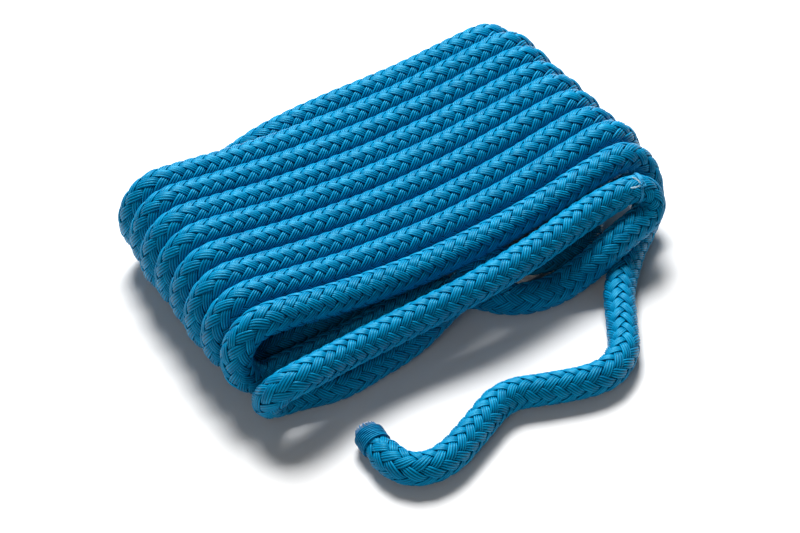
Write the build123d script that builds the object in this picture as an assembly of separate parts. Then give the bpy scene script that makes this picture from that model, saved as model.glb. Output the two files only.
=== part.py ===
from build123d import *
from math import cos, pi, radians, sin, tan
import os

# Braided rope in a flat factory hank. Nine neat runs lie side by side. From the eighth the rope goes
# round a slumped front turn, with a tight tied fold at its right, and passes under itself to the
# ninth. Behind the tied fold a loose tail leaves the ninth run for the floor and a whipped end.
# Millimetres, +Z up, +X along the runs, +Y across them. The origin is the middle of the underside.

# Driving dimensions
ROPE_D = 10.0          # the rope's diameter
CORE_D = 6.8           # the braided core inside its cover
RUNS = 9               # neat runs side by side, counted along the top from the back
PITCH = 10.4           # from one run to the next
FOLD_X = 64.3          # a fold's centre, from the middle of the hank
FOLD_R = 12.0          # a fold's radius, on the rope's centreline
LOW_Z = 4.8            # the lower runs' centreline: the rope flattens 0.2 mm where it rests
SAG_Z = 21.5           # the upper runs' centreline at its lowest, in the middle
END_D = 7.8            # the rope's end, drawn in under its whipping
END_L = 8.5            # the drawn-in length
WHIPPING_D = 9.0
WHIPPING_L = 6.0
CUT_TO_WHIPPING = 2.0  # the cover shows between the cut face and the whipping
THREAD_D = 0.9         # the thread that ties the front turn's tight fold
THREAD_PITCH = 0.8     # between its two turns
THREAD_GAP = 0.05      # between the thread and the rope
TIE_ALONG = 208.0      # how far along the front turn the tie sits, just before the tight fold
KNOT_ANGLE = 150       # degrees round the rope, from its underside towards the front
OVERCUT = 1.0          # how far a cutting solid runs past what it cuts
WIDE = 400.0           # wider than the whole hank

ROPE_R = ROPE_D / 2
FOLD_Z = LOW_Z + FOLD_R
FIRST_Y = PITCH * (RUNS - 1) / 2
LAST_Y = -FIRST_Y

# The upper run sags in an arc that leaves both folds without a kink
SAG_RISE = SAG_Z - FOLD_Z
SAG_R = (FOLD_X**2 + SAG_RISE**2 - FOLD_R**2) / (2 * (FOLD_R - SAG_RISE))
SAG_CENTRE_Z = SAG_Z + SAG_R
REACH = FOLD_R / (SAG_R + FOLD_R)
TOP_X = FOLD_X * (1 - REACH)
TOP_Z = FOLD_Z + (SAG_CENTRE_Z - FOLD_Z) * REACH

# Where the hank's solid hands over to the free stretches, and where its hidden lower runs stop
FIRST_RUN_STOP = 0.0
FIRST_LOW_STOP = 20.0
LAST_RUN_STOP = 52.0
LAST_LOW_STOP = -10.0
FILL_STOP = 48.0       # the last turn's filling stops short of the tail
FILL_Z = 11.0          # and stays above the lower runs that slant forward
SLANT_IN_L = 74.0      # the hidden lower run from the eighth turn to the front turn's start
SLANT_OUT_L = 36.0     # the hidden lower run from the front turn's end to the ninth turn


def sag_z(x):
    """The height of an upper run's centreline."""
    return SAG_CENTRE_Z - (SAG_R**2 - x**2) ** 0.5


def past(x, y, length):
    """A point on the tangent of an upper run at x, `length` further to the right."""
    return (x + length * (1 - (x / SAG_R) ** 2) ** 0.5, y, sag_z(x) + length * x / SAG_R)


# Control points of the free stretches, chosen by hand
INNER_END = [
    (FIRST_RUN_STOP, FIRST_Y, SAG_Z), (-9.0, FIRST_Y, SAG_Z), (-21.0, 42.6, 17.0), (-33.0, 44.2, 9.5),
    (-45.0, 45.6, 5.0), (-57.0, 45.4, 5.0),
]
FRONT_TURN = [
    (-18.0, -54.8, 5.1), (-30.0, -58.2, 5.0), (-42.0, -59.5, 5.0), (-53.0, -56.5, 5.0),
    (-62.2, -52.3, 5.0), (-70.2, -51.3, 5.0), (-75.8, -54.4, 9.7), (-75.8, -58.8, 16.3),
    (-70.2, -61.9, 21.0), (-61.5, -61.9, 20.4), (-46.0, -58.4, 16.8), (-26.0, -56.4, 16.0),
    (-4.0, -55.4, 16.3), (14.0, -55.7, 17.4), (31.0, -54.9, 19.8), (45.0, -53.6, 23.2),
    (56.0, -53.2, 26.2), (65.5, -53.2, 28.0), (69.5, -56.2, 21.8), (65.5, -59.4, 16.2),
    (56.5, -60.4, 15.8), (47.5, -61.4, 14.2), (39.5, -61.6, 10.0), (32.0, -61.6, 6.0),
    (24.5, -60.8, 5.0), (18.0, -57.6, 5.1),
]
TAIL = [
    (LAST_RUN_STOP, LAST_Y, sag_z(LAST_RUN_STOP)), past(LAST_RUN_STOP, LAST_Y, 8.5),
    (69.2, -41.7, 28.6), (76.2, -42.2, 22.2), (77.0, -44.0, 13.2), (73.0, -47.6, 6.8),
    (66.8, -52.4, 5.0), (59.5, -58.0, 5.0), (52.0, -65.0, 5.0), (44.5, -74.0, 5.0),
    (37.5, -85.0, 5.0), (28.5, -96.0, 5.0), (16.0, -99.3, 5.0), (1.5, -94.8, 5.0),
    (-12.5, -90.0, 5.0), (-26.5, -96.5, 5.0), (-41.0, -103.7, 5.0), (-52.0, -100.0, 5.0),
    (-56.0, -89.0, 5.0), (-54.8, -77.5, 5.0),
]


def racetrack(y):
    """The centreline of one turn: its lower run, left fold, upper run and right fold."""
    low_left, low_right = (-FOLD_X, y, LOW_Z), (FOLD_X, y, LOW_Z)
    top_left, top_right = (-TOP_X, y, TOP_Z), (TOP_X, y, TOP_Z)
    return [
        Line(low_right, low_left),
        ThreePointArc(low_left, (-FOLD_X - FOLD_R, y, FOLD_Z), top_left),
        ThreePointArc(top_left, (0, y, SAG_Z), top_right),
        ThreePointArc(top_right, (FOLD_X + FOLD_R, y, FOLD_Z), low_right),
    ]


def first_turn(y):
    """Part of its lower run, its right fold, and its upper run as far as the middle."""
    top_right, half = (TOP_X, y, TOP_Z), (TOP_X + FIRST_RUN_STOP) / 2
    return [
        Line((FIRST_LOW_STOP, y, LOW_Z), (FOLD_X, y, LOW_Z)),
        ThreePointArc((FOLD_X, y, LOW_Z), (FOLD_X + FOLD_R, y, FOLD_Z), top_right),
        ThreePointArc(top_right, (half, y, sag_z(half)), (FIRST_RUN_STOP, y, sag_z(FIRST_RUN_STOP))),
    ]


def last_turn(y):
    """Part of its lower run, its left fold, and its upper run almost to its right fold."""
    low_left, top_left = (-FOLD_X, y, LOW_Z), (-TOP_X, y, TOP_Z)
    return [
        Line((LAST_LOW_STOP, y, LOW_Z), low_left),
        ThreePointArc(low_left, (-FOLD_X - FOLD_R, y, FOLD_Z), top_left),
        ThreePointArc(top_left, (0, y, SAG_Z), (LAST_RUN_STOP, y, sag_z(LAST_RUN_STOP))),
    ]


def rope_along(edges):
    """A round rope along edges that follow each other, one solid for each edge."""
    starts = [Plane(origin=edge @ 0, z_dir=edge % 0) for edge in edges]
    return [sweep(start * Circle(ROPE_R), path=edge) for start, edge in zip(starts, edges)]


def slanted_run(path, at, length):
    """A hidden lower run, straight on from the free stretch's first (at 0) or last (at 1) face."""
    ahead = path % at if at else -(path % at)
    face = Plane(origin=path @ at, z_dir=ahead)
    return face * Pos(0, 0, length / 2) * Cylinder(ROPE_R, length)


def filling(y_from, y_to, box=None):
    """What lies between the centrelines of neighbouring turns."""
    solid = extrude(make_face(Wire(racetrack(y_to))), amount=y_from - y_to, dir=(0, 1, 0))
    return solid & box if box else solid


def hank(front_path):
    """The neat turns and what lies between their centrelines, one closed solid, flat underneath."""
    run_y = [FIRST_Y - run * PITCH for run in range(RUNS)]
    pieces = rope_along(first_turn(run_y[0])) + rope_along(last_turn(run_y[-1]))
    for y in run_y[1:-1]:
        pieces += rope_along(racetrack(y))
    right_part = Pos(FIRST_LOW_STOP + WIDE / 2, 0, WIDE / 2) * Box(WIDE, WIDE, WIDE)
    upper_part = Pos(FILL_STOP - WIDE / 2, 0, FILL_Z + WIDE / 2) * Box(WIDE, WIDE, WIDE)
    pieces.append(filling(run_y[1], run_y[-2]))
    pieces.append(filling(run_y[0], run_y[1], right_part))
    pieces.append(filling(run_y[-2], run_y[-1], upper_part))
    above_floor = Pos(0, 0, WIDE / 2) * Box(WIDE, WIDE, WIDE)
    turns = pieces[0].fuse(*pieces[1:]) & above_floor
    return turns + slanted_run(front_path, 0, SLANT_IN_L) + slanted_run(front_path, 1, SLANT_OUT_L)


def fold_radii(points):
    """For each corner, 0.45 of the shorter run divided by the tangent of half the turn."""
    radii = []
    for before, corner, after in zip(points, points[1:], points[2:]):
        run_in, run_out = Vector(corner) - Vector(before), Vector(after) - Vector(corner)
        turn = radians(run_in.get_angle(run_out))
        radii.append(0.45 * min(run_in.length, run_out.length) / tan(turn / 2))
    return radii


def route(name, points):
    path = FilletPolyline(*points, radius=fold_radii(points))
    print(name, "length", round(path.length, 1), "radii", [round(r, 1) for r in fold_radii(points)])
    return path


def tube(path, radius, name):
    start = Plane(origin=path @ 0, z_dir=path % 0)
    solid = sweep(start * Circle(radius), path=path)
    print(name, "volume", round(solid.volume), "section x length", round(pi * radius**2 * path.length))
    return solid


def cover_and_core(name, path):
    """A free stretch of rope: its braided cover, bored for its core, and the core."""
    core = tube(path, CORE_D / 2, name + " core")
    return tube(path, ROPE_R, name + " cover") - core, core


def drawn_in_end(cover, path):
    """Narrows the cover over its last few millimetres and makes the whipping round it."""
    end = Plane(origin=path @ 1, z_dir=path % 1)
    drawn_in = Cylinder(END_D / 2, END_L + 2 * OVERCUT)
    ring = Cylinder(ROPE_R + OVERCUT, END_L) - drawn_in
    sleeve = Cylinder(WHIPPING_D / 2, WHIPPING_L) - drawn_in
    whipping = end * Pos(0, 0, -CUT_TO_WHIPPING - WHIPPING_L / 2) * sleeve
    return cover - end * Pos(0, 0, -END_L / 2) * ring, whipping


def corner_tie(path):
    """Two turns of thread round the front turn, just before its tight fold, with a knot on them."""
    along = TIE_ALONG / path.length
    place = Plane(origin=path @ along, x_dir=(0, 0, 1), z_dir=path % along)
    ring_r = ROPE_R + THREAD_GAP + THREAD_D / 2
    angle = radians(KNOT_ANGLE)
    knot = place * Pos(-ring_r * cos(angle), ring_r * sin(angle), 0) * Sphere(THREAD_D)
    turns = [
        place * Pos(0, 0, side * THREAD_PITCH / 2) * Torus(ring_r, THREAD_D / 2) for side in (-1, 1)
    ]
    return turns[0].fuse(turns[1], knot) - tube(path, ROPE_R + THREAD_GAP / 2, "room for the rope")


def save(name, solid):
    export_step(solid, f"parts/{name}.step")
    print(name, "solids", len(solid.solids()), "box", solid.bounding_box())


os.makedirs("parts", exist_ok=True)
inner_path = route("inner end", INNER_END)
front_path = route("front turn", FRONT_TURN)
tail_path = route("tail", TAIL)

inner_cover, inner_core = cover_and_core("inner end", inner_path)
front_cover, front_core = cover_and_core("front turn", front_path)
tail_cover, tail_core = cover_and_core("tail", tail_path)
inner_cover, inner_whipping = drawn_in_end(inner_cover, inner_path)
tail_cover, tail_whipping = drawn_in_end(tail_cover, tail_path)

save("rope_hank", hank(front_path))
save("inner_end_cover", inner_cover)
save("inner_end_core", inner_core)
save("inner_end_whipping", inner_whipping)
save("front_turn_cover", front_cover)
save("front_turn_core", front_core)
save("tail_cover", tail_cover)
save("tail_core", tail_core)
save("tail_whipping", tail_whipping)
save("corner_tie", corner_tie(front_path))
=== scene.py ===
from math import cos, pi, radians, sin, tau

import bpy
import numpy as np
from mathutils import Matrix, Vector


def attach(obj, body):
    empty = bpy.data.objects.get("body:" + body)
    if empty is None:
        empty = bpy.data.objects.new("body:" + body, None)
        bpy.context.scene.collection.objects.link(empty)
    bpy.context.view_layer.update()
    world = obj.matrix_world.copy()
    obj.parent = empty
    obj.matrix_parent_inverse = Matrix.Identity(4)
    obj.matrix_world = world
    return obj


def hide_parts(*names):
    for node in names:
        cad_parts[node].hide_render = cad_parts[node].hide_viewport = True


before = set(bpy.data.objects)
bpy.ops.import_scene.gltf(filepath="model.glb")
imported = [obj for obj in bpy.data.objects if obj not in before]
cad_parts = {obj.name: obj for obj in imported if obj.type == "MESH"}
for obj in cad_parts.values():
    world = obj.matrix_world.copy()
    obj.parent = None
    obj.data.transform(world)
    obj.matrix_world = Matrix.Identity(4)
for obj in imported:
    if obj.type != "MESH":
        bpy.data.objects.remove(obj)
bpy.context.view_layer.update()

# A blue braided rope in a flat factory hank. One cord runs from the inner end through eight neat
# runs, round the slumped front turn and its tight tied fold, under itself to the ninth run, and on to
# the whipped tail. Metres, the CAD's frame.

# ---- sizes -------------------------------------------------------------------------------------
ROPE_D = 0.010
ROPE_R = ROPE_D / 2
MM = 0.001

# ---- camera ------------------------------------------------------------------------------------
CAMERA_AT = (-0.3023, -0.5111, 0.5271)
CAMERA_HEADING, CAMERA_DOWN, CAMERA_ROLL = -31.21, 42.49, -1.79     # degrees
LENS = 108.2                                                       # mm, on a 36 mm sensor


def make_camera():
    data = bpy.data.cameras.new("camera")
    data.lens = LENS
    data.clip_start, data.clip_end = 0.01, 20
    camera = bpy.data.objects.new("camera", data)
    turn = Matrix.Rotation(radians(CAMERA_HEADING), 4, "Z")
    tip = Matrix.Rotation(radians(90 - CAMERA_DOWN), 4, "X")
    roll = Matrix.Rotation(radians(CAMERA_ROLL), 4, "Z")
    camera.matrix_world = Matrix.Translation(CAMERA_AT) @ turn @ tip @ roll
    bpy.context.collection.objects.link(camera)
    bpy.context.scene.camera = camera


make_camera()

# ---- the rope's route --------------------------------------------------------------------------
LOW_Z = ROPE_R
RUNS = 9                     # neat runs side by side, the first at the back
PITCH = 0.01075
FOLD_LEFT, FOLD_RIGHT = -0.0642, 0.0643
RIGHT_CLOSING = 0.07         # how much closer the runs lie at their right ends than at x = -20 mm
CLOSING_FROM, CLOSING_SPAN = -0.020, 0.084
# How each run differs from its neat place: its folds' reach, its side step and its right end's drop
FOLD_OUT_LEFT = (0, -.0026, -.0015, 0, 0, .0005, .0015, .0012, .0010)
FOLD_OUT_RIGHT = (0, .0016, .0016, .0010, .0010, .0004, 0, .0010, -.0008)
SIDE_STEP = (-.0012, -.0008, 0, 0, .0007, .0005, 0, .0003, -.0009)
RIGHT_DROP = (.0024, .0010, .0012, .0010, .0005, 0, 0, 0, 0)
DROP_FROM, DROP_SPAN = -0.012, 0.06
SAG_LOW, SAG_RISE, SAG_REACH = 0.0215, 0.0075, 0.064     # an upper run's middle, and its ends' rise
FOLD_LEAD = 0.005            # from a fold's centre to the lower run's first point
UPPER_X = (-.056, -.036, -.012, .012, .036, .056)
LOWER_SLANT = ((.036, .22), (.012, .41), (-.012, .59), (-.036, .78))     # x, share of the way over
FOLD_CORNERS = (67.5, 22.5, -22.5, -67.5)                                # degrees

INNER_END = [
    (-0.0570, 0.0454, 0.0050), (-0.0450, 0.0456, 0.0060), (-0.0330, 0.0446, 0.0115),
    (-0.0190, 0.0432, 0.0175), (0.0000, 0.0425, 0.0200),
]
# From the right fold of the last run but one: over a crossing, along the front, round the slumped
# left fold, back to the tight tied fold, and under the crossing to the last run's left fold
FRONT_TURN = [
    (0.0578, -0.0370, 0.0050), (0.0540, -0.0428, 0.0050), (0.0472, -0.0463, 0.0056),
    (0.0390, -0.0484, 0.0068), (0.0305, -0.0492, 0.0090), (0.0210, -0.0487, 0.0122),
    (0.0115, -0.0478, 0.0151), (0.0030, -0.0490, 0.0140), (-0.0080, -0.0515, 0.0092),
    (-0.0220, -0.0548, 0.0055), (-0.0380, -0.0570, 0.0050), (-0.0520, -0.0585, 0.0050),
    (-0.0630, -0.0550, 0.0050), (-0.0701, -0.0540, 0.0050), (-0.0752, -0.0563, 0.0092),
    (-0.0752, -0.0598, 0.0152), (-0.0701, -0.0620, 0.0195), (-0.0600, -0.0612, 0.0192),
    (-0.0440, -0.0575, 0.0162), (-0.0225, -0.0572, 0.0168), (0.0005, -0.0584, 0.0196),
    (0.0230, -0.0560, 0.0208), (0.0440, -0.0520, 0.0222), (0.0570, -0.0519, 0.0242),
    (0.0645, -0.0531, 0.0257), (0.0678, -0.0547, 0.0228), (0.0678, -0.0569, 0.0187),
    (0.0645, -0.0584, 0.0160), (0.0570, -0.0597, 0.0155), (0.0500, -0.0608, 0.0138),
    (0.0430, -0.0614, 0.0106), (0.0360, -0.0608, 0.0073), (0.0290, -0.0603, 0.0050),
    (0.0210, -0.0596, 0.0050), (0.0130, -0.0560, 0.0050), (0.0075, -0.0485, 0.0050),
    (0.0010, -0.0425, 0.0050), (-0.0080, -0.0400, 0.0050), (-0.0220, -0.0410, 0.0050),
    (-0.0360, -0.0430, 0.0050),
]
TAIL = [
    (0.0683, -0.0407, 0.0283), (0.0742, -0.0420, 0.0232), (0.0755, -0.0450, 0.0165),
    (0.0735, -0.0485, 0.0105), (0.0680, -0.0530, 0.0070), (0.0595, -0.0580, 0.0052),
    (0.0515, -0.0650, 0.0050), (0.0440, -0.0725, 0.0050), (0.0395, -0.0800, 0.0050),
    (0.0352, -0.0865, 0.0050), (0.0295, -0.0957, 0.0050), (0.0180, -0.1010, 0.0050),
    (0.0015, -0.0955, 0.0050), (-0.0120, -0.0897, 0.0050), (-0.0260, -0.0965, 0.0050),
    (-0.0420, -0.1036, 0.0050), (-0.0530, -0.1003, 0.0050), (-0.0558, -0.0880, 0.0050),
    (-0.0543, -0.0790, 0.0050),
]


def sag_z(x, run):
    """The height of an upper run: it sags between the folds, and the far runs' right ends droop."""
    drop = RIGHT_DROP[run] * min(max((x - DROP_FROM) / DROP_SPAN, 0), 1)
    return SAG_LOW + SAG_RISE * (x / SAG_REACH) ** 2 - drop


def run_y(place, x):
    """Where run `place` lies at x. A place between two runs is on the way from one to the next."""
    closing = 1 - RIGHT_CLOSING * ((x - CLOSING_FROM) / CLOSING_SPAN) ** 2
    step = np.interp(place, range(RUNS), SIDE_STEP)
    return ((RUNS - 1) / 2 - place) * PITCH * closing + step


def fold(x, side, y, top_z):
    """Four corners of a fold, downwards, round half a circle."""
    radius, middle = (top_z - LOW_Z) / 2, (top_z + LOW_Z) / 2
    reach = radius / cos(pi / 8)
    angles = [radians(a) for a in FOLD_CORNERS]
    return [(x + side * reach * cos(a), y, middle + reach * sin(a)) for a in angles]


def left_fold(run):
    x = FOLD_LEFT - FOLD_OUT_LEFT[run]
    y = run_y(run, x)
    return [(x + FOLD_LEAD, y, LOW_Z)] + fold(x, -1, y, sag_z(x, run))[::-1]


def right_fold(run):
    x = FOLD_RIGHT + FOLD_OUT_RIGHT[run]
    y = run_y(run, x)
    return fold(x, 1, y, sag_z(x, run)) + [(x - FOLD_LEAD, y, LOW_Z)]


def upper_run(run, places):
    return [(x, run_y(run, x), sag_z(x, run)) for x in places]


def lower_run(run):
    """The lower run slants over to the next turn's place."""
    return [(x, run_y(run + share, x), LOW_Z) for x, share in LOWER_SLANT]


def whole_route():
    points = INNER_END + upper_run(0, UPPER_X[-2:])
    for run in range(1, RUNS):
        points += right_fold(run - 1)
        points += lower_run(run - 1) if run < RUNS - 1 else FRONT_TURN
        points += left_fold(run) + upper_run(run, UPPER_X)
    return points + TAIL


POINTS_PER_SPAN = 32
SAME_POINT = 1e-7
STRAIGHT = 1e-18             # the squared change of direction that counts as none


def smooth_line(points):
    """Points read from a NURBS spline that has `points` as its control points."""
    data = bpy.data.curves.new("route", "CURVE")
    data.dimensions = "3D"
    data.resolution_u = POINTS_PER_SPAN
    spline = data.splines.new("NURBS")
    spline.points.add(len(points) - 1)
    for slot, point in zip(spline.points, points):
        slot.co = (*point, 1)
    spline.order_u = 3
    spline.use_endpoint_u = True
    curve = bpy.data.objects.new("route", data)
    bpy.context.collection.objects.link(curve)
    bpy.context.view_layer.update()
    mesh = bpy.data.meshes.new_from_object(curve)
    line = np.empty(len(mesh.vertices) * 3)
    mesh.vertices.foreach_get("co", line)
    bpy.data.meshes.remove(mesh)
    bpy.data.objects.remove(curve)
    line = line.reshape(-1, 3)
    moved = np.linalg.norm(np.diff(line, axis=0), axis=1) > SAME_POINT
    return line[np.concatenate([[True], moved])]


class Line:
    """A centreline with a frame that doesn't twist, read by distance along it."""

    def __init__(self, points):
        self.points = points
        steps = np.linalg.norm(np.diff(points, axis=0), axis=1)
        self.along = np.concatenate([[0], np.cumsum(steps)])
        self.length = self.along[-1]
        self.ahead = np.gradient(points, self.along, axis=0)
        self.ahead /= np.linalg.norm(self.ahead, axis=1)[:, None]
        self.out = self.untwisted()
        self.side = np.cross(self.ahead, self.out)

    def untwisted(self):
        """A cross direction for each point, carried along by reflecting it twice at each step."""
        start = np.cross(self.ahead[0], (0, 0, 1))
        out = [start / np.linalg.norm(start)]
        for a, b, t, u in zip(self.points, self.points[1:], self.ahead, self.ahead[1:]):
            v = b - a
            r = out[-1] - 2 / (v @ v) * (v @ out[-1]) * v
            t = t - 2 / (v @ v) * (v @ t) * v
            w = u - t
            turned = r if w @ w < STRAIGHT else r - 2 / (w @ w) * (w @ r) * w
            out.append(turned / np.linalg.norm(turned))
        return np.array(out)

    def read(self, values, along):
        return np.stack([np.interp(along, self.along, values[:, i]) for i in range(3)], axis=-1)

    def place(self, along, angle, radius):
        """Points `along` the line, turned by `angle` round it and `radius` away from it."""
        out = self.read(self.out, along) * np.cos(angle)[..., None]
        side = self.read(self.side, along) * np.sin(angle)[..., None]
        return self.read(self.points, along) + (out + side) * np.asarray(radius)[..., None]


rope = Line(smooth_line(whole_route()))
print("rope length", round(rope.length, 3))


# ---- meshes ------------------------------------------------------------------------------------
def wander(along, step, seed):
    """A smooth random value from -1 to 1 that changes about every `step`."""
    values = np.random.default_rng(seed).uniform(-1, 1, int(rope.length / step) + 4)
    place = np.clip(np.asarray(along), 0, rope.length) / step + 1
    whole = np.floor(place).astype(int)
    part = place - whole
    part = part * part * (3 - 2 * part)
    return values[whole] * (1 - part) + values[whole + 1] * part


def grid_mesh(name, rings, material, fibre=None, closed_ends=True):
    """A tube through rings of points, an array of rings by points by three."""
    count, around = rings.shape[:2]
    index = np.arange(count * around).reshape(count, around)
    after = np.roll(index, -1, axis=1)
    quads = np.stack([index[:-1], after[:-1], after[1:], index[1:]], axis=-1).reshape(-1, 4)
    mesh = bpy.data.meshes.new(name)
    ends = 2 if closed_ends else 0
    mesh.vertices.add(count * around)
    mesh.vertices.foreach_set("co", rings.reshape(-1).astype(np.float32))
    mesh.loops.add(quads.size + ends * around)
    corners = [quads.reshape(-1)]
    starts = np.arange(len(quads)) * 4
    if closed_ends:
        corners += [index[0, ::-1], index[-1]]
        starts = np.concatenate([starts, [quads.size, quads.size + around]])
    mesh.loops.foreach_set("vertex_index", np.concatenate(corners).astype(np.int32))
    mesh.polygons.add(len(starts))
    mesh.polygons.foreach_set("loop_start", starts.astype(np.int32))
    mesh.polygons.foreach_set("use_smooth", np.ones(len(starts), dtype=bool))
    if fibre is not None:
        layer = mesh.attributes.new("fibre", "FLOAT_VECTOR", "POINT")
        layer.data.foreach_set("vector", fibre.reshape(-1).astype(np.float32))
    mesh.update(calc_edges=True)
    mesh.validate()
    mesh.materials.append(material)
    piece = bpy.data.objects.new(name, mesh)
    bpy.context.collection.objects.link(piece)
    return piece


# ---- materials ---------------------------------------------------------------------------------
def new_material(name, colour, roughness):
    material = bpy.data.materials.new(name)
    material.use_nodes = True
    shader = material.node_tree.nodes["Principled BSDF"]
    shader.inputs["Base Color"].default_value = (*colour, 1)
    shader.inputs["Roughness"].default_value = roughness
    return material, material.node_tree, shader


def math_node(tree, operation, *values):
    """A Math node; each value is a number or another node's output."""
    node = tree.nodes.new("ShaderNodeMath")
    node.operation = operation
    for socket, value in zip(node.inputs, values):
        if isinstance(value, (int, float)):
            socket.default_value = value
        else:
            tree.links.new(value, socket)
    return node.outputs["Value"]


def map_range(tree, value, **ends):
    node = tree.nodes.new("ShaderNodeMapRange")
    for name, end in ends.items():
        node.inputs[name.replace("_", " ")].default_value = end
    tree.links.new(value, node.inputs["Value"])
    return node.outputs["Result"]


def stretched_noise(tree, vector, stretch, detail, roughness=0.5):
    """Noise over the fibre coordinates, drawn out along the strand."""
    scaled = tree.nodes.new("ShaderNodeVectorMath")
    scaled.operation = "MULTIPLY"
    scaled.inputs[1].default_value = stretch
    tree.links.new(vector, scaled.inputs[0])
    noise = tree.nodes.new("ShaderNodeTexNoise")
    noise.inputs["Scale"].default_value = 1
    noise.inputs["Detail"].default_value = detail
    noise.inputs["Roughness"].default_value = roughness
    tree.links.new(scaled.outputs["Vector"], noise.inputs["Vector"])
    return noise.outputs["Fac"]


def fibre_colour(tree, vector, filaments, dark, light):
    """From dark to light by the filaments and by slow patches along each strand."""
    patches = math_node(tree, "MULTIPLY", stretched_noise(tree, vector, PATCH_STRETCH, 2), 0.4)
    mix = math_node(tree, "MULTIPLY_ADD", filaments, 0.6, patches)
    colour = tree.nodes.new("ShaderNodeValToRGB")
    for element, place, shade in zip(colour.color_ramp.elements, (0.30, 0.68), (dark, light)):
        element.position = place
        element.color = (*shade, 1)
    tree.links.new(mix, colour.inputs["Fac"])
    return colour.outputs["Color"]


def with_painted_valley_shade(tree, vector, colour, painted_valley_shade, yarns):
    """The colour again, with a darker colour painted between the strand's yarns as their shade."""
    split = tree.nodes.new("ShaderNodeSeparateXYZ")
    tree.links.new(vector, split.inputs["Vector"])
    wave = math_node(tree, "SINE", math_node(tree, "MULTIPLY", split.outputs["Y"], yarns * pi / 2))
    ridge = map_range(tree, math_node(tree, "ABSOLUTE", wave), From_Max=RIDGE_SHARE)
    # painted shade: the darker colour mixed in towards the yarns' flanks
    tint = tree.nodes.new("ShaderNodeMix")
    tint.data_type = "RGBA"
    tint.inputs["A"].default_value = (*painted_valley_shade, 1)
    tree.links.new(ridge, tint.inputs["Factor"])
    tree.links.new(colour, tint.inputs["B"])
    return tint.outputs["Result"]


FILAMENT_STRETCH, PATCH_STRETCH = (260, 11, 40), (90, 0.6, 40)
RIDGE_SHARE = 0.75                # how far up its flank a yarn has the painted valley shade
FILAMENT_BUMP = 0.18 * MM


def fibre_material(name, dark, light, painted_valley_shade, roughness, yarns):
    """Dyed filament yarn: filaments run along each strand, and the valleys between the yarns get painted
    shade.
    """
    material, tree, shader = new_material(name, light, roughness)
    shader.inputs["Specular IOR Level"].default_value = 0.27
    shader.inputs["Specular Tint"].default_value = (0.02, 0.75, 1.0, 1)

    fibre = tree.nodes.new("ShaderNodeAttribute")
    fibre.attribute_name = "fibre"
    vector = fibre.outputs["Vector"]
    filaments = stretched_noise(tree, vector, FILAMENT_STRETCH, 4, 0.6)
    colour = with_painted_valley_shade(tree, vector, fibre_colour(tree, vector, filaments, dark, light), painted_valley_shade, yarns)
    tree.links.new(colour, shader.inputs["Base Color"])
    gloss = map_range(tree, filaments, To_Min=roughness - 0.10, To_Max=roughness + 0.14)
    tree.links.new(gloss, shader.inputs["Roughness"])

    bump = tree.nodes.new("ShaderNodeBump")
    bump.inputs["Strength"].default_value = 0.55
    bump.inputs["Distance"].default_value = FILAMENT_BUMP
    tree.links.new(filaments, bump.inputs["Height"])
    tree.links.new(bump.outputs["Normal"], shader.inputs["Normal"])
    return material


YARNS = 4                         # side by side in each strand
# The third colour of each fibre material is painted shade for the valleys between its yarns.
cover_material = fibre_material("blue_filament_yarn", (0.000, 0.100, 0.250), (0.001, 0.320, 0.600),
                                (0.000, 0.014, 0.045), 0.36, YARNS)
# The hidden core is painted dark blue as the shade seen through gaps in the cover; its cut ends keep
# their own pale grey.
painted_shade_core_material, _, _ = new_material("core_painted_shade", (0.001, 0.030, 0.080), 0.8)
twine_material = fibre_material("whipping_twine", (0.001, 0.10, 0.25), (0.003, 0.28, 0.54),
                                (0.001, 0.04, 0.12), 0.4, 2)
tie_material = fibre_material("tie_thread", (0.01, 0.20, 0.42), (0.06, 0.45, 0.75),
                              (0.01, 0.16, 0.34), 0.4, 2)
# The thread ends' pale blue is lifted to near-white as painted highlight.
painted_highlight_tie_material = fibre_material("tie_thread_ends_painted_highlight", (0.40, 0.70, 0.85), (0.75, 0.92, 1.0),
                                 (0.30, 0.60, 0.80), 0.35, 2)
cut_material, _, _ = new_material("cut_core", (0.42, 0.40, 0.41), 0.75)
fray_material, _, _ = new_material("cut_cover", (0.000, 0.120, 0.280), 0.8)

# ---- the braided cover -------------------------------------------------------------------------
STRANDS_EACH_WAY = 8
LAY = 3.55 * ROPE_D               # the length in which a strand goes once round
MIDDLE_R = 4.08 * MM              # where a strand crosses from over to under
RISE = 0.50 * MM                  # how far over and under that it runs
HALF_WIDTH = 1.36 * MM
HALF_THICK = 0.29 * MM
YARN_RISE = 0.34 * MM
RINGS_PER_FLOAT = 16              # along one float and the dive after it
END_L = 8.5 * MM
END_R_SHARE = 0.80                # of the rope's radius, under the whippings
STRAND_STOP = 3.2 * MM            # from the cut; only cut filaments reach past the whipping
EASE_FROM, EASE_OVER = 0.85, 0.6  # where the drawn-in end widens again, in shares of its length
FULLNESS = 1.025                  # the cover's size beside the plain rope's
UNEVEN, UNEVEN_STEP = 0.012, 13 * MM
STEEPNESS = 1.9                   # how quickly a strand dives from over to under
LIFT_WANDER, LIFT_STEP = 0.045 * MM, 6 * MM
SWAY_WANDER, SWAY_STEP = 0.10 * MM, 11 * MM
WIDTH_WANDER, WIDTH_STEP = 0.05, 9 * MM
HEIGHT_WANDER, HEIGHT_STEP = 0.06, 4 * MM
DIVE_PINCH = 0.10                 # how much narrower a strand is where it dives
REST_GAP = 0.04 * MM              # the rope is flattened where it rests, just above the floor
TIE_AT = (0.0640, -0.0532, 0.0252)    # the place on the front turn that the tie goes round
TIE_PINCH, TIE_PINCH_L = 0.14, 7 * MM

tied_point = int(np.argmin(np.linalg.norm(rope.points - np.array(TIE_AT), axis=1)))


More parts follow.
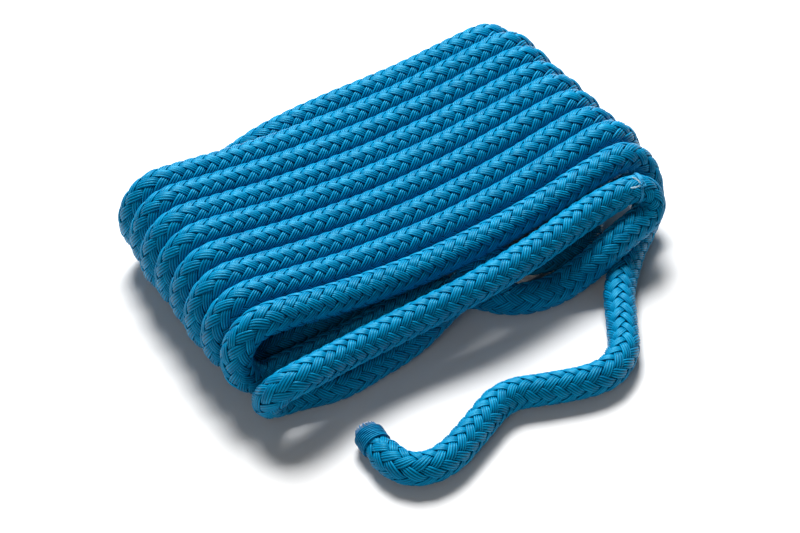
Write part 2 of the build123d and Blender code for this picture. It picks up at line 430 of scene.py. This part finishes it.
def cover_radius(along):
    """The cover's size beside its plain size: a little uneven, and drawn in at the ends and tie."""
    from_end = np.minimum(along, rope.length - along)
    ease = np.clip(from_end / END_L - EASE_FROM, 0, EASE_OVER) / EASE_OVER
    ease = ease * ease * (3 - 2 * ease)
    pinch = TIE_PINCH * np.exp(-((along - rope.along[tied_point]) / TIE_PINCH_L) ** 2)
    uneven = FULLNESS + UNEVEN * wander(along, UNEVEN_STEP, 5) - pinch
    return (END_R_SHARE + (1 - END_R_SHARE) * ease) * uneven


def section():
    """Places across a strand from -1 to 1 and heights: yarn lobes on top, a plain underside."""
    across, height = [], []
    for place in np.linspace(-1, 1, YARNS * 3 + 1):
        lobe = abs(sin(place * YARNS * pi / 2)) ** 0.75
        crown = (1 - abs(place) ** 3.0) ** 0.5
        across.append(place)
        height.append(HALF_THICK * crown + YARN_RISE * (lobe - 0.35) * (0.35 + 0.65 * crown))
    for place in (0.72, 0, -0.72):
        across.append(place)
        height.append(-HALF_THICK)
    return np.array(across), np.array(height)


def make_strand(hand, number):
    """One continuous strand of the cover, over two and under two of those that go the other way."""
    crossing = LAY / (2 * STRANDS_EACH_WAY)
    rings = int(rope.length / (4 * crossing) * RINGS_PER_FLOAT)
    along = np.linspace(0, rope.length, rings)
    phase = 2 * number - 0.5 if hand > 0 else 2.5 - 2 * number
    wave = np.cos(tau / 4 * (along / crossing + phase))
    wave = np.tanh(STEEPNESS * wave) / np.tanh(STEEPNESS)
    seed = 100 + 20 * number + (10 if hand > 0 else 0)
    lift = RISE * wave + LIFT_WANDER * wander(along, LIFT_STEP, seed)
    width = 1 + WIDTH_WANDER * wander(along, WIDTH_STEP, seed + 1) - DIVE_PINCH * (1 - wave**2)
    sway = SWAY_WANDER * wander(along, SWAY_STEP, seed + 2)
    swell = 1 + HEIGHT_WANDER * wander(along, HEIGHT_STEP, seed + 3)

    across, height = section()
    slope = np.arctan(tau * MIDDLE_R / LAY)
    offset = across * HALF_WIDTH * width[:, None] + sway[:, None]
    angle = hand * tau * along / LAY + tau * number / STRANDS_EACH_WAY
    place = along[:, None] - hand * np.sin(slope) * offset
    angle = angle[:, None] + np.cos(slope) * offset / MIDDLE_R
    radius = MIDDLE_R + lift[:, None] + height * swell[:, None]
    place = np.clip(place, STRAND_STOP, rope.length - STRAND_STOP)
    points = rope.place(place, angle, radius * cover_radius(place))
    points[..., 2] = np.maximum(points[..., 2], REST_GAP)

    fibre = np.zeros((*points.shape[:2], 3))
    fibre[..., 0] = along[:, None] / np.cos(slope)
    fibre[..., 1] = across
    fibre[..., 2] = number + (20 if hand > 0 else 0)
    if hand > 0:
        points, fibre = points[:, ::-1], fibre[:, ::-1]
    name = f"cover_strand_{'right' if hand > 0 else 'left'}_{number + 1}"
    return grid_mesh(name, points, cover_material, fibre)


CORE_R, CORE_SIDES, CORE_RINGS = 3.50 * MM, 12, 3000


def make_core():
    along = np.linspace(0, rope.length, CORE_RINGS)
    angle = np.linspace(0, tau, CORE_SIDES, endpoint=False)
    along, angle = np.meshgrid(along, angle, indexing="ij")
    rings = rope.place(along, angle, CORE_R * cover_radius(along))
    return grid_mesh("rope_core", rings, painted_shade_core_material)


core = make_core()
strands = [make_strand(hand, number) for hand in (1, -1) for number in range(STRANDS_EACH_WAY)]

# ---- the cut ends, their whippings and the tie -------------------------------------------------
CUT_TO_WHIPPING = 2.0 * MM
WHIPPING_L = 6.0 * MM
WHIPPING_WRAPS = 8
POINTS_PER_WRAP = 40
THREAD_R = 0.40 * MM
THREAD_SIDES = 10
PLY_DEPTH = 0.12                  # how deep the grooves are between a thread's two plies
PLY_LAY = 8.8                     # the length of one turn of the plies, in thread radii
TIP_SHARE = 0.4                   # a thread's radius at its two tips
UNDER_THREAD_R = 3.98 * MM        # the drawn-in cover's radius
END_FACE_R = 3.35 * MM
END_FACE_POINTS = 48
END_DOME = 0.55 * MM
END_FACE_L = 1.5 * MM             # how far the cut core is seen to go back into its cover
FRAY_COUNT = 88
FRAY_HIDDEN = 0.8 * MM            # how far a cut filament goes under the whipping
FRAY_R, FRAY_LEAN_IN = 3.80, 0.35     # mm
FRAY_SHARES = (0, 0.25, 0.5, 0.75, 1)
TIE_R = 0.30 * MM
TIED_R = 4.65 * MM                # where the thread lies, on the pinched rope
KNOT_TURN = radians(38)           # round the rope, from its top towards the front


def thread(name, points, radius, material, around=THREAD_SIDES, depth=PLY_DEPTH):
    """A two-ply thread along points, with both tips drawn in."""
    line = Line(np.asarray(points, dtype=float))
    along = np.linspace(0, line.length, len(points))
    angle = np.linspace(0, tau, around, endpoint=False)
    along, angle = np.meshgrid(along, angle, indexing="ij")
    size = radius * (1 + depth * np.cos(2 * angle + tau * along / (PLY_LAY * radius)))
    size[0] *= TIP_SHARE
    size[-1] *= TIP_SHARE
    fibre = np.stack([along, np.sin(angle), np.zeros_like(along)], axis=-1)
    return grid_mesh(name, line.place(along, angle, size)[:, ::-1], material, fibre[:, ::-1])


def whipping(name, end, inward):
    """Tight wraps of thread round the drawn-in cover, from `end` of the rope inwards."""
    angle = np.linspace(0, tau * WHIPPING_WRAPS, WHIPPING_WRAPS * POINTS_PER_WRAP)
    travel = CUT_TO_WHIPPING + THREAD_R + (WHIPPING_L - 2 * THREAD_R) * angle / angle[-1]
    radius = UNDER_THREAD_R + THREAD_R + 0.05 * MM * wander(angle * 0.003, 0.004, 61)
    points = rope.place(end + inward * travel, angle, radius)
    return thread(name, points, THREAD_R, twine_material, depth=0.10)


def end_face(name, end, inward):
    """The core's cut end, a little domed and uneven."""
    rng = np.random.default_rng(7)
    angle = np.linspace(0, tau, END_FACE_POINTS, endpoint=False)
    at_end = np.full(END_FACE_POINTS, end)
    ahead = rope.read(rope.ahead, at_end)
    rings = [rope.place(at_end + inward * END_FACE_L, angle, END_FACE_R * 0.98)]
    for share in (1.0, 0.97, 0.86, 0.7, 0.5, 0.3, 0.12):
        rough = 1 + 0.03 * rng.uniform(-1, 1, END_FACE_POINTS)
        bumps = 0.10 * MM * rng.uniform(-1, 1, END_FACE_POINTS) * (share < 0.97)
        out = END_DOME * (1 - share**2) + bumps
        ring = rope.place(at_end, angle, END_FACE_R * share * rough)
        rings.append(ring - inward * out[:, None] * ahead)
    rings = np.array(rings)
    if inward > 0:
        rings = rings[:, ::-1]
    return grid_mesh(name, rings, cut_material)


def filament(rng, turn, end, inward):
    """The four-sided rings of one cut filament, from under the whipping to its free tip."""
    turn += rng.uniform(-0.03, 0.03)
    thick = rng.uniform(0.14, 0.22) * MM
    length = CUT_TO_WHIPPING + rng.uniform(-0.50, 0.05) * MM
    lean = rng.uniform(-0.18, 0.18)
    middles = []
    for share in FRAY_SHARES:
        along = end + inward * (CUT_TO_WHIPPING + FRAY_HIDDEN - share * (length + FRAY_HIDDEN))
        spread = (FRAY_R - FRAY_LEAN_IN * share**2 + rng.uniform(-0.06, 0.10) * share) * MM
        inside = np.array(np.clip(along, 0, rope.length))
        middle = rope.place(inside, np.array(turn + lean * share), np.array(spread))
        middles.append(middle + (along - inside) * rope.read(rope.ahead, inside))
    up = middles[0] - rope.read(rope.points, np.array(end + inward * CUT_TO_WHIPPING))
    up /= np.linalg.norm(up)
    across = np.cross(up, middles[-1] - middles[0])
    across /= np.linalg.norm(across)
    corners = np.array([across, up, -across, -up])
    sizes = [thick * (1 - 0.55 * share) for share in FRAY_SHARES]
    return np.array([middle + size * corners for middle, size in zip(middles, sizes)])


def frayed_edge(name, end, inward):
    """Short filaments of the cut cover, between its whipping and its cut face."""
    rng = np.random.default_rng(31)
    points, faces = [], []
    for turn in np.linspace(0, tau, FRAY_COUNT, endpoint=False):
        first = len(points)
        points += filament(rng, turn, end, inward).reshape(-1, 3).tolist()
        tip = first + 4 * (len(FRAY_SHARES) - 1)
        for ring in range(first, tip, 4):
            for side in range(4):
                a, b = ring + side, ring + (side + 1) % 4
                faces.append((a, b, b + 4, a + 4))
        faces += [(first + 3, first + 2, first + 1, first), (tip, tip + 1, tip + 2, tip + 3)]
    mesh = bpy.data.meshes.new(name)
    mesh.from_pydata(points, [], faces)
    mesh.materials.append(fray_material)
    piece = bpy.data.objects.new(name, mesh)
    bpy.context.collection.objects.link(piece)
    return piece


def tie_directions():
    """Where the tie goes round the rope: its middle, and along, up and towards the front."""
    ahead = rope.ahead[tied_point]
    up = np.array((0, 0, 1)) - ahead[2] * ahead
    up /= np.linalg.norm(up)
    return rope.points[tied_point], ahead, up, np.cross(ahead, up)


def at_knot(places, lift):
    """Places along the rope, beside it and out from it, at the knot, `lift` above the loops."""
    centre, ahead, up, front = tie_directions()
    out = up * cos(KNOT_TURN) + front * sin(KNOT_TURN)
    return centre + (TIED_R + lift) * out + places @ np.array([ahead, np.cross(ahead, out), out])


def tie_loops():
    """Two loops round the rope; the angle runs from its top towards the front."""
    centre, ahead, up, front = tie_directions()
    angle = np.linspace(-0.4, 2 * tau + 0.4, 150)[:, None]
    along = 0.9 * MM * angle / (2 * tau) + 0.15 * MM * np.sin(angle * 1.5)
    points = centre + along * ahead + TIED_R * (np.cos(angle) * up + np.sin(angle) * front)
    return thread("tie_loops", points, TIE_R, tie_material)


def tie_knot():
    """An overhand knot, a trefoil pulled tight, lying on the loops."""
    turn = np.linspace(0, tau, 120)
    along = (np.sin(turn) + 2 * np.sin(2 * turn)) * 0.30 * MM + 0.45 * MM
    beside = (np.cos(turn) - 2 * np.cos(2 * turn)) * 0.30 * MM
    out = -np.sin(3 * turn) * 0.34 * MM
    points = at_knot(np.stack([along, beside, out], axis=-1), 0.55 * MM)
    return thread("tie_knot", points, TIE_R * 1.05, tie_material)


def tie_end(name, start, reach, length, bend):
    """A loose thread end: it leaves the knot and curves, in the knot's own directions."""
    share = np.linspace(0, 1, 24)[:, None]
    way = share * np.array(reach) + share**2 * np.array(bend)
    points = at_knot(np.array(start) * MM + length * way, 0.6 * MM)
    return thread(name, points, TIE_R * 0.8, painted_highlight_tie_material, around=8)


pieces_by_slot = {"core": [], "whipping": [], "rope": [], "tie_thread": []}
for label, end, inward in (("inner", 0.0, 1), ("tail", rope.length, -1)):
    pieces_by_slot["whipping"].append(whipping(f"{label}_end_whipping_wraps", end, inward))
    pieces_by_slot["core"].append(end_face(f"{label}_end_cut_core", end, inward))
    pieces_by_slot["rope"].append(frayed_edge(f"{label}_end_frayed_cover", end, inward))
tie = [
    tie_loops(), tie_knot(),
    tie_end("tie_end_1", (-0.5, 0.3, 0.0), (-0.9, 0.3, 0.3), 4.6 * MM, (0.1, -0.2, -0.2)),
    tie_end("tie_end_2", (-0.4, -0.4, 0.2), (-0.6, -0.6, 0.6), 3.8 * MM, (-0.2, 0.1, -0.2)),
]

# ---- what stands for what ----------------------------------------------------------------------
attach(core, "root")
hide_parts("inner_end_core", "front_turn_core", "tail_core")
for strand in strands:
    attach(strand, "root")
    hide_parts("rope_hank", "inner_end_cover", "front_turn_cover", "tail_cover")
for slot, pieces in pieces_by_slot.items():
    for piece in pieces:
        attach(piece, "root")
for piece, node in zip(pieces_by_slot["whipping"], ("inner_end_whipping", "tail_whipping")):
    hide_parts(node)
for piece in tie:
    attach(piece, "root")
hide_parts("corner_tie")


# ---- floor and light ---------------------------------------------------------------------------
FLOOR_REACH = 4.0


def make_floor():
    mesh = bpy.data.meshes.new("floor")
    corners = [(x * FLOOR_REACH, y * FLOOR_REACH, 0) for x, y in ((-1, -1), (1, -1), (1, 1), (-1, 1))]
    mesh.from_pydata(corners, [], [(0, 1, 2, 3)])
    material, _, _ = new_material("pale_floor", (0.80, 0.80, 0.80), 0.9)
    mesh.materials.append(material)
    floor = bpy.data.objects.new("floor", mesh)
    bpy.context.collection.objects.link(floor)


def soft_light(name, at, size, power):
    """A square soft box that looks at the middle of the hank."""
    data = bpy.data.lights.new(name, "AREA")
    data.shape = "SQUARE"
    data.size = size
    data.energy = power
    light = bpy.data.objects.new(name, data)
    light.location = at
    light.rotation_euler = (-Vector(at)).to_track_quat("-Z", "Y").to_euler()
    bpy.context.collection.objects.link(light)


def make_light():
    world = bpy.data.worlds.new("studio")
    world.use_nodes = True
    background = world.node_tree.nodes["Background"]
    background.inputs["Color"].default_value = (1, 1, 1, 1)
    background.inputs["Strength"].default_value = 0.10
    bpy.context.scene.world = world
    soft_light("top_back", (0.30, 0.65, 1.0), 0.6, 36)
    soft_light("front_left", (-1.2, -0.9, 0.8), 0.6, 4)


make_floor()
make_light()
bpy.context.scene.view_settings.view_transform = "Standard"
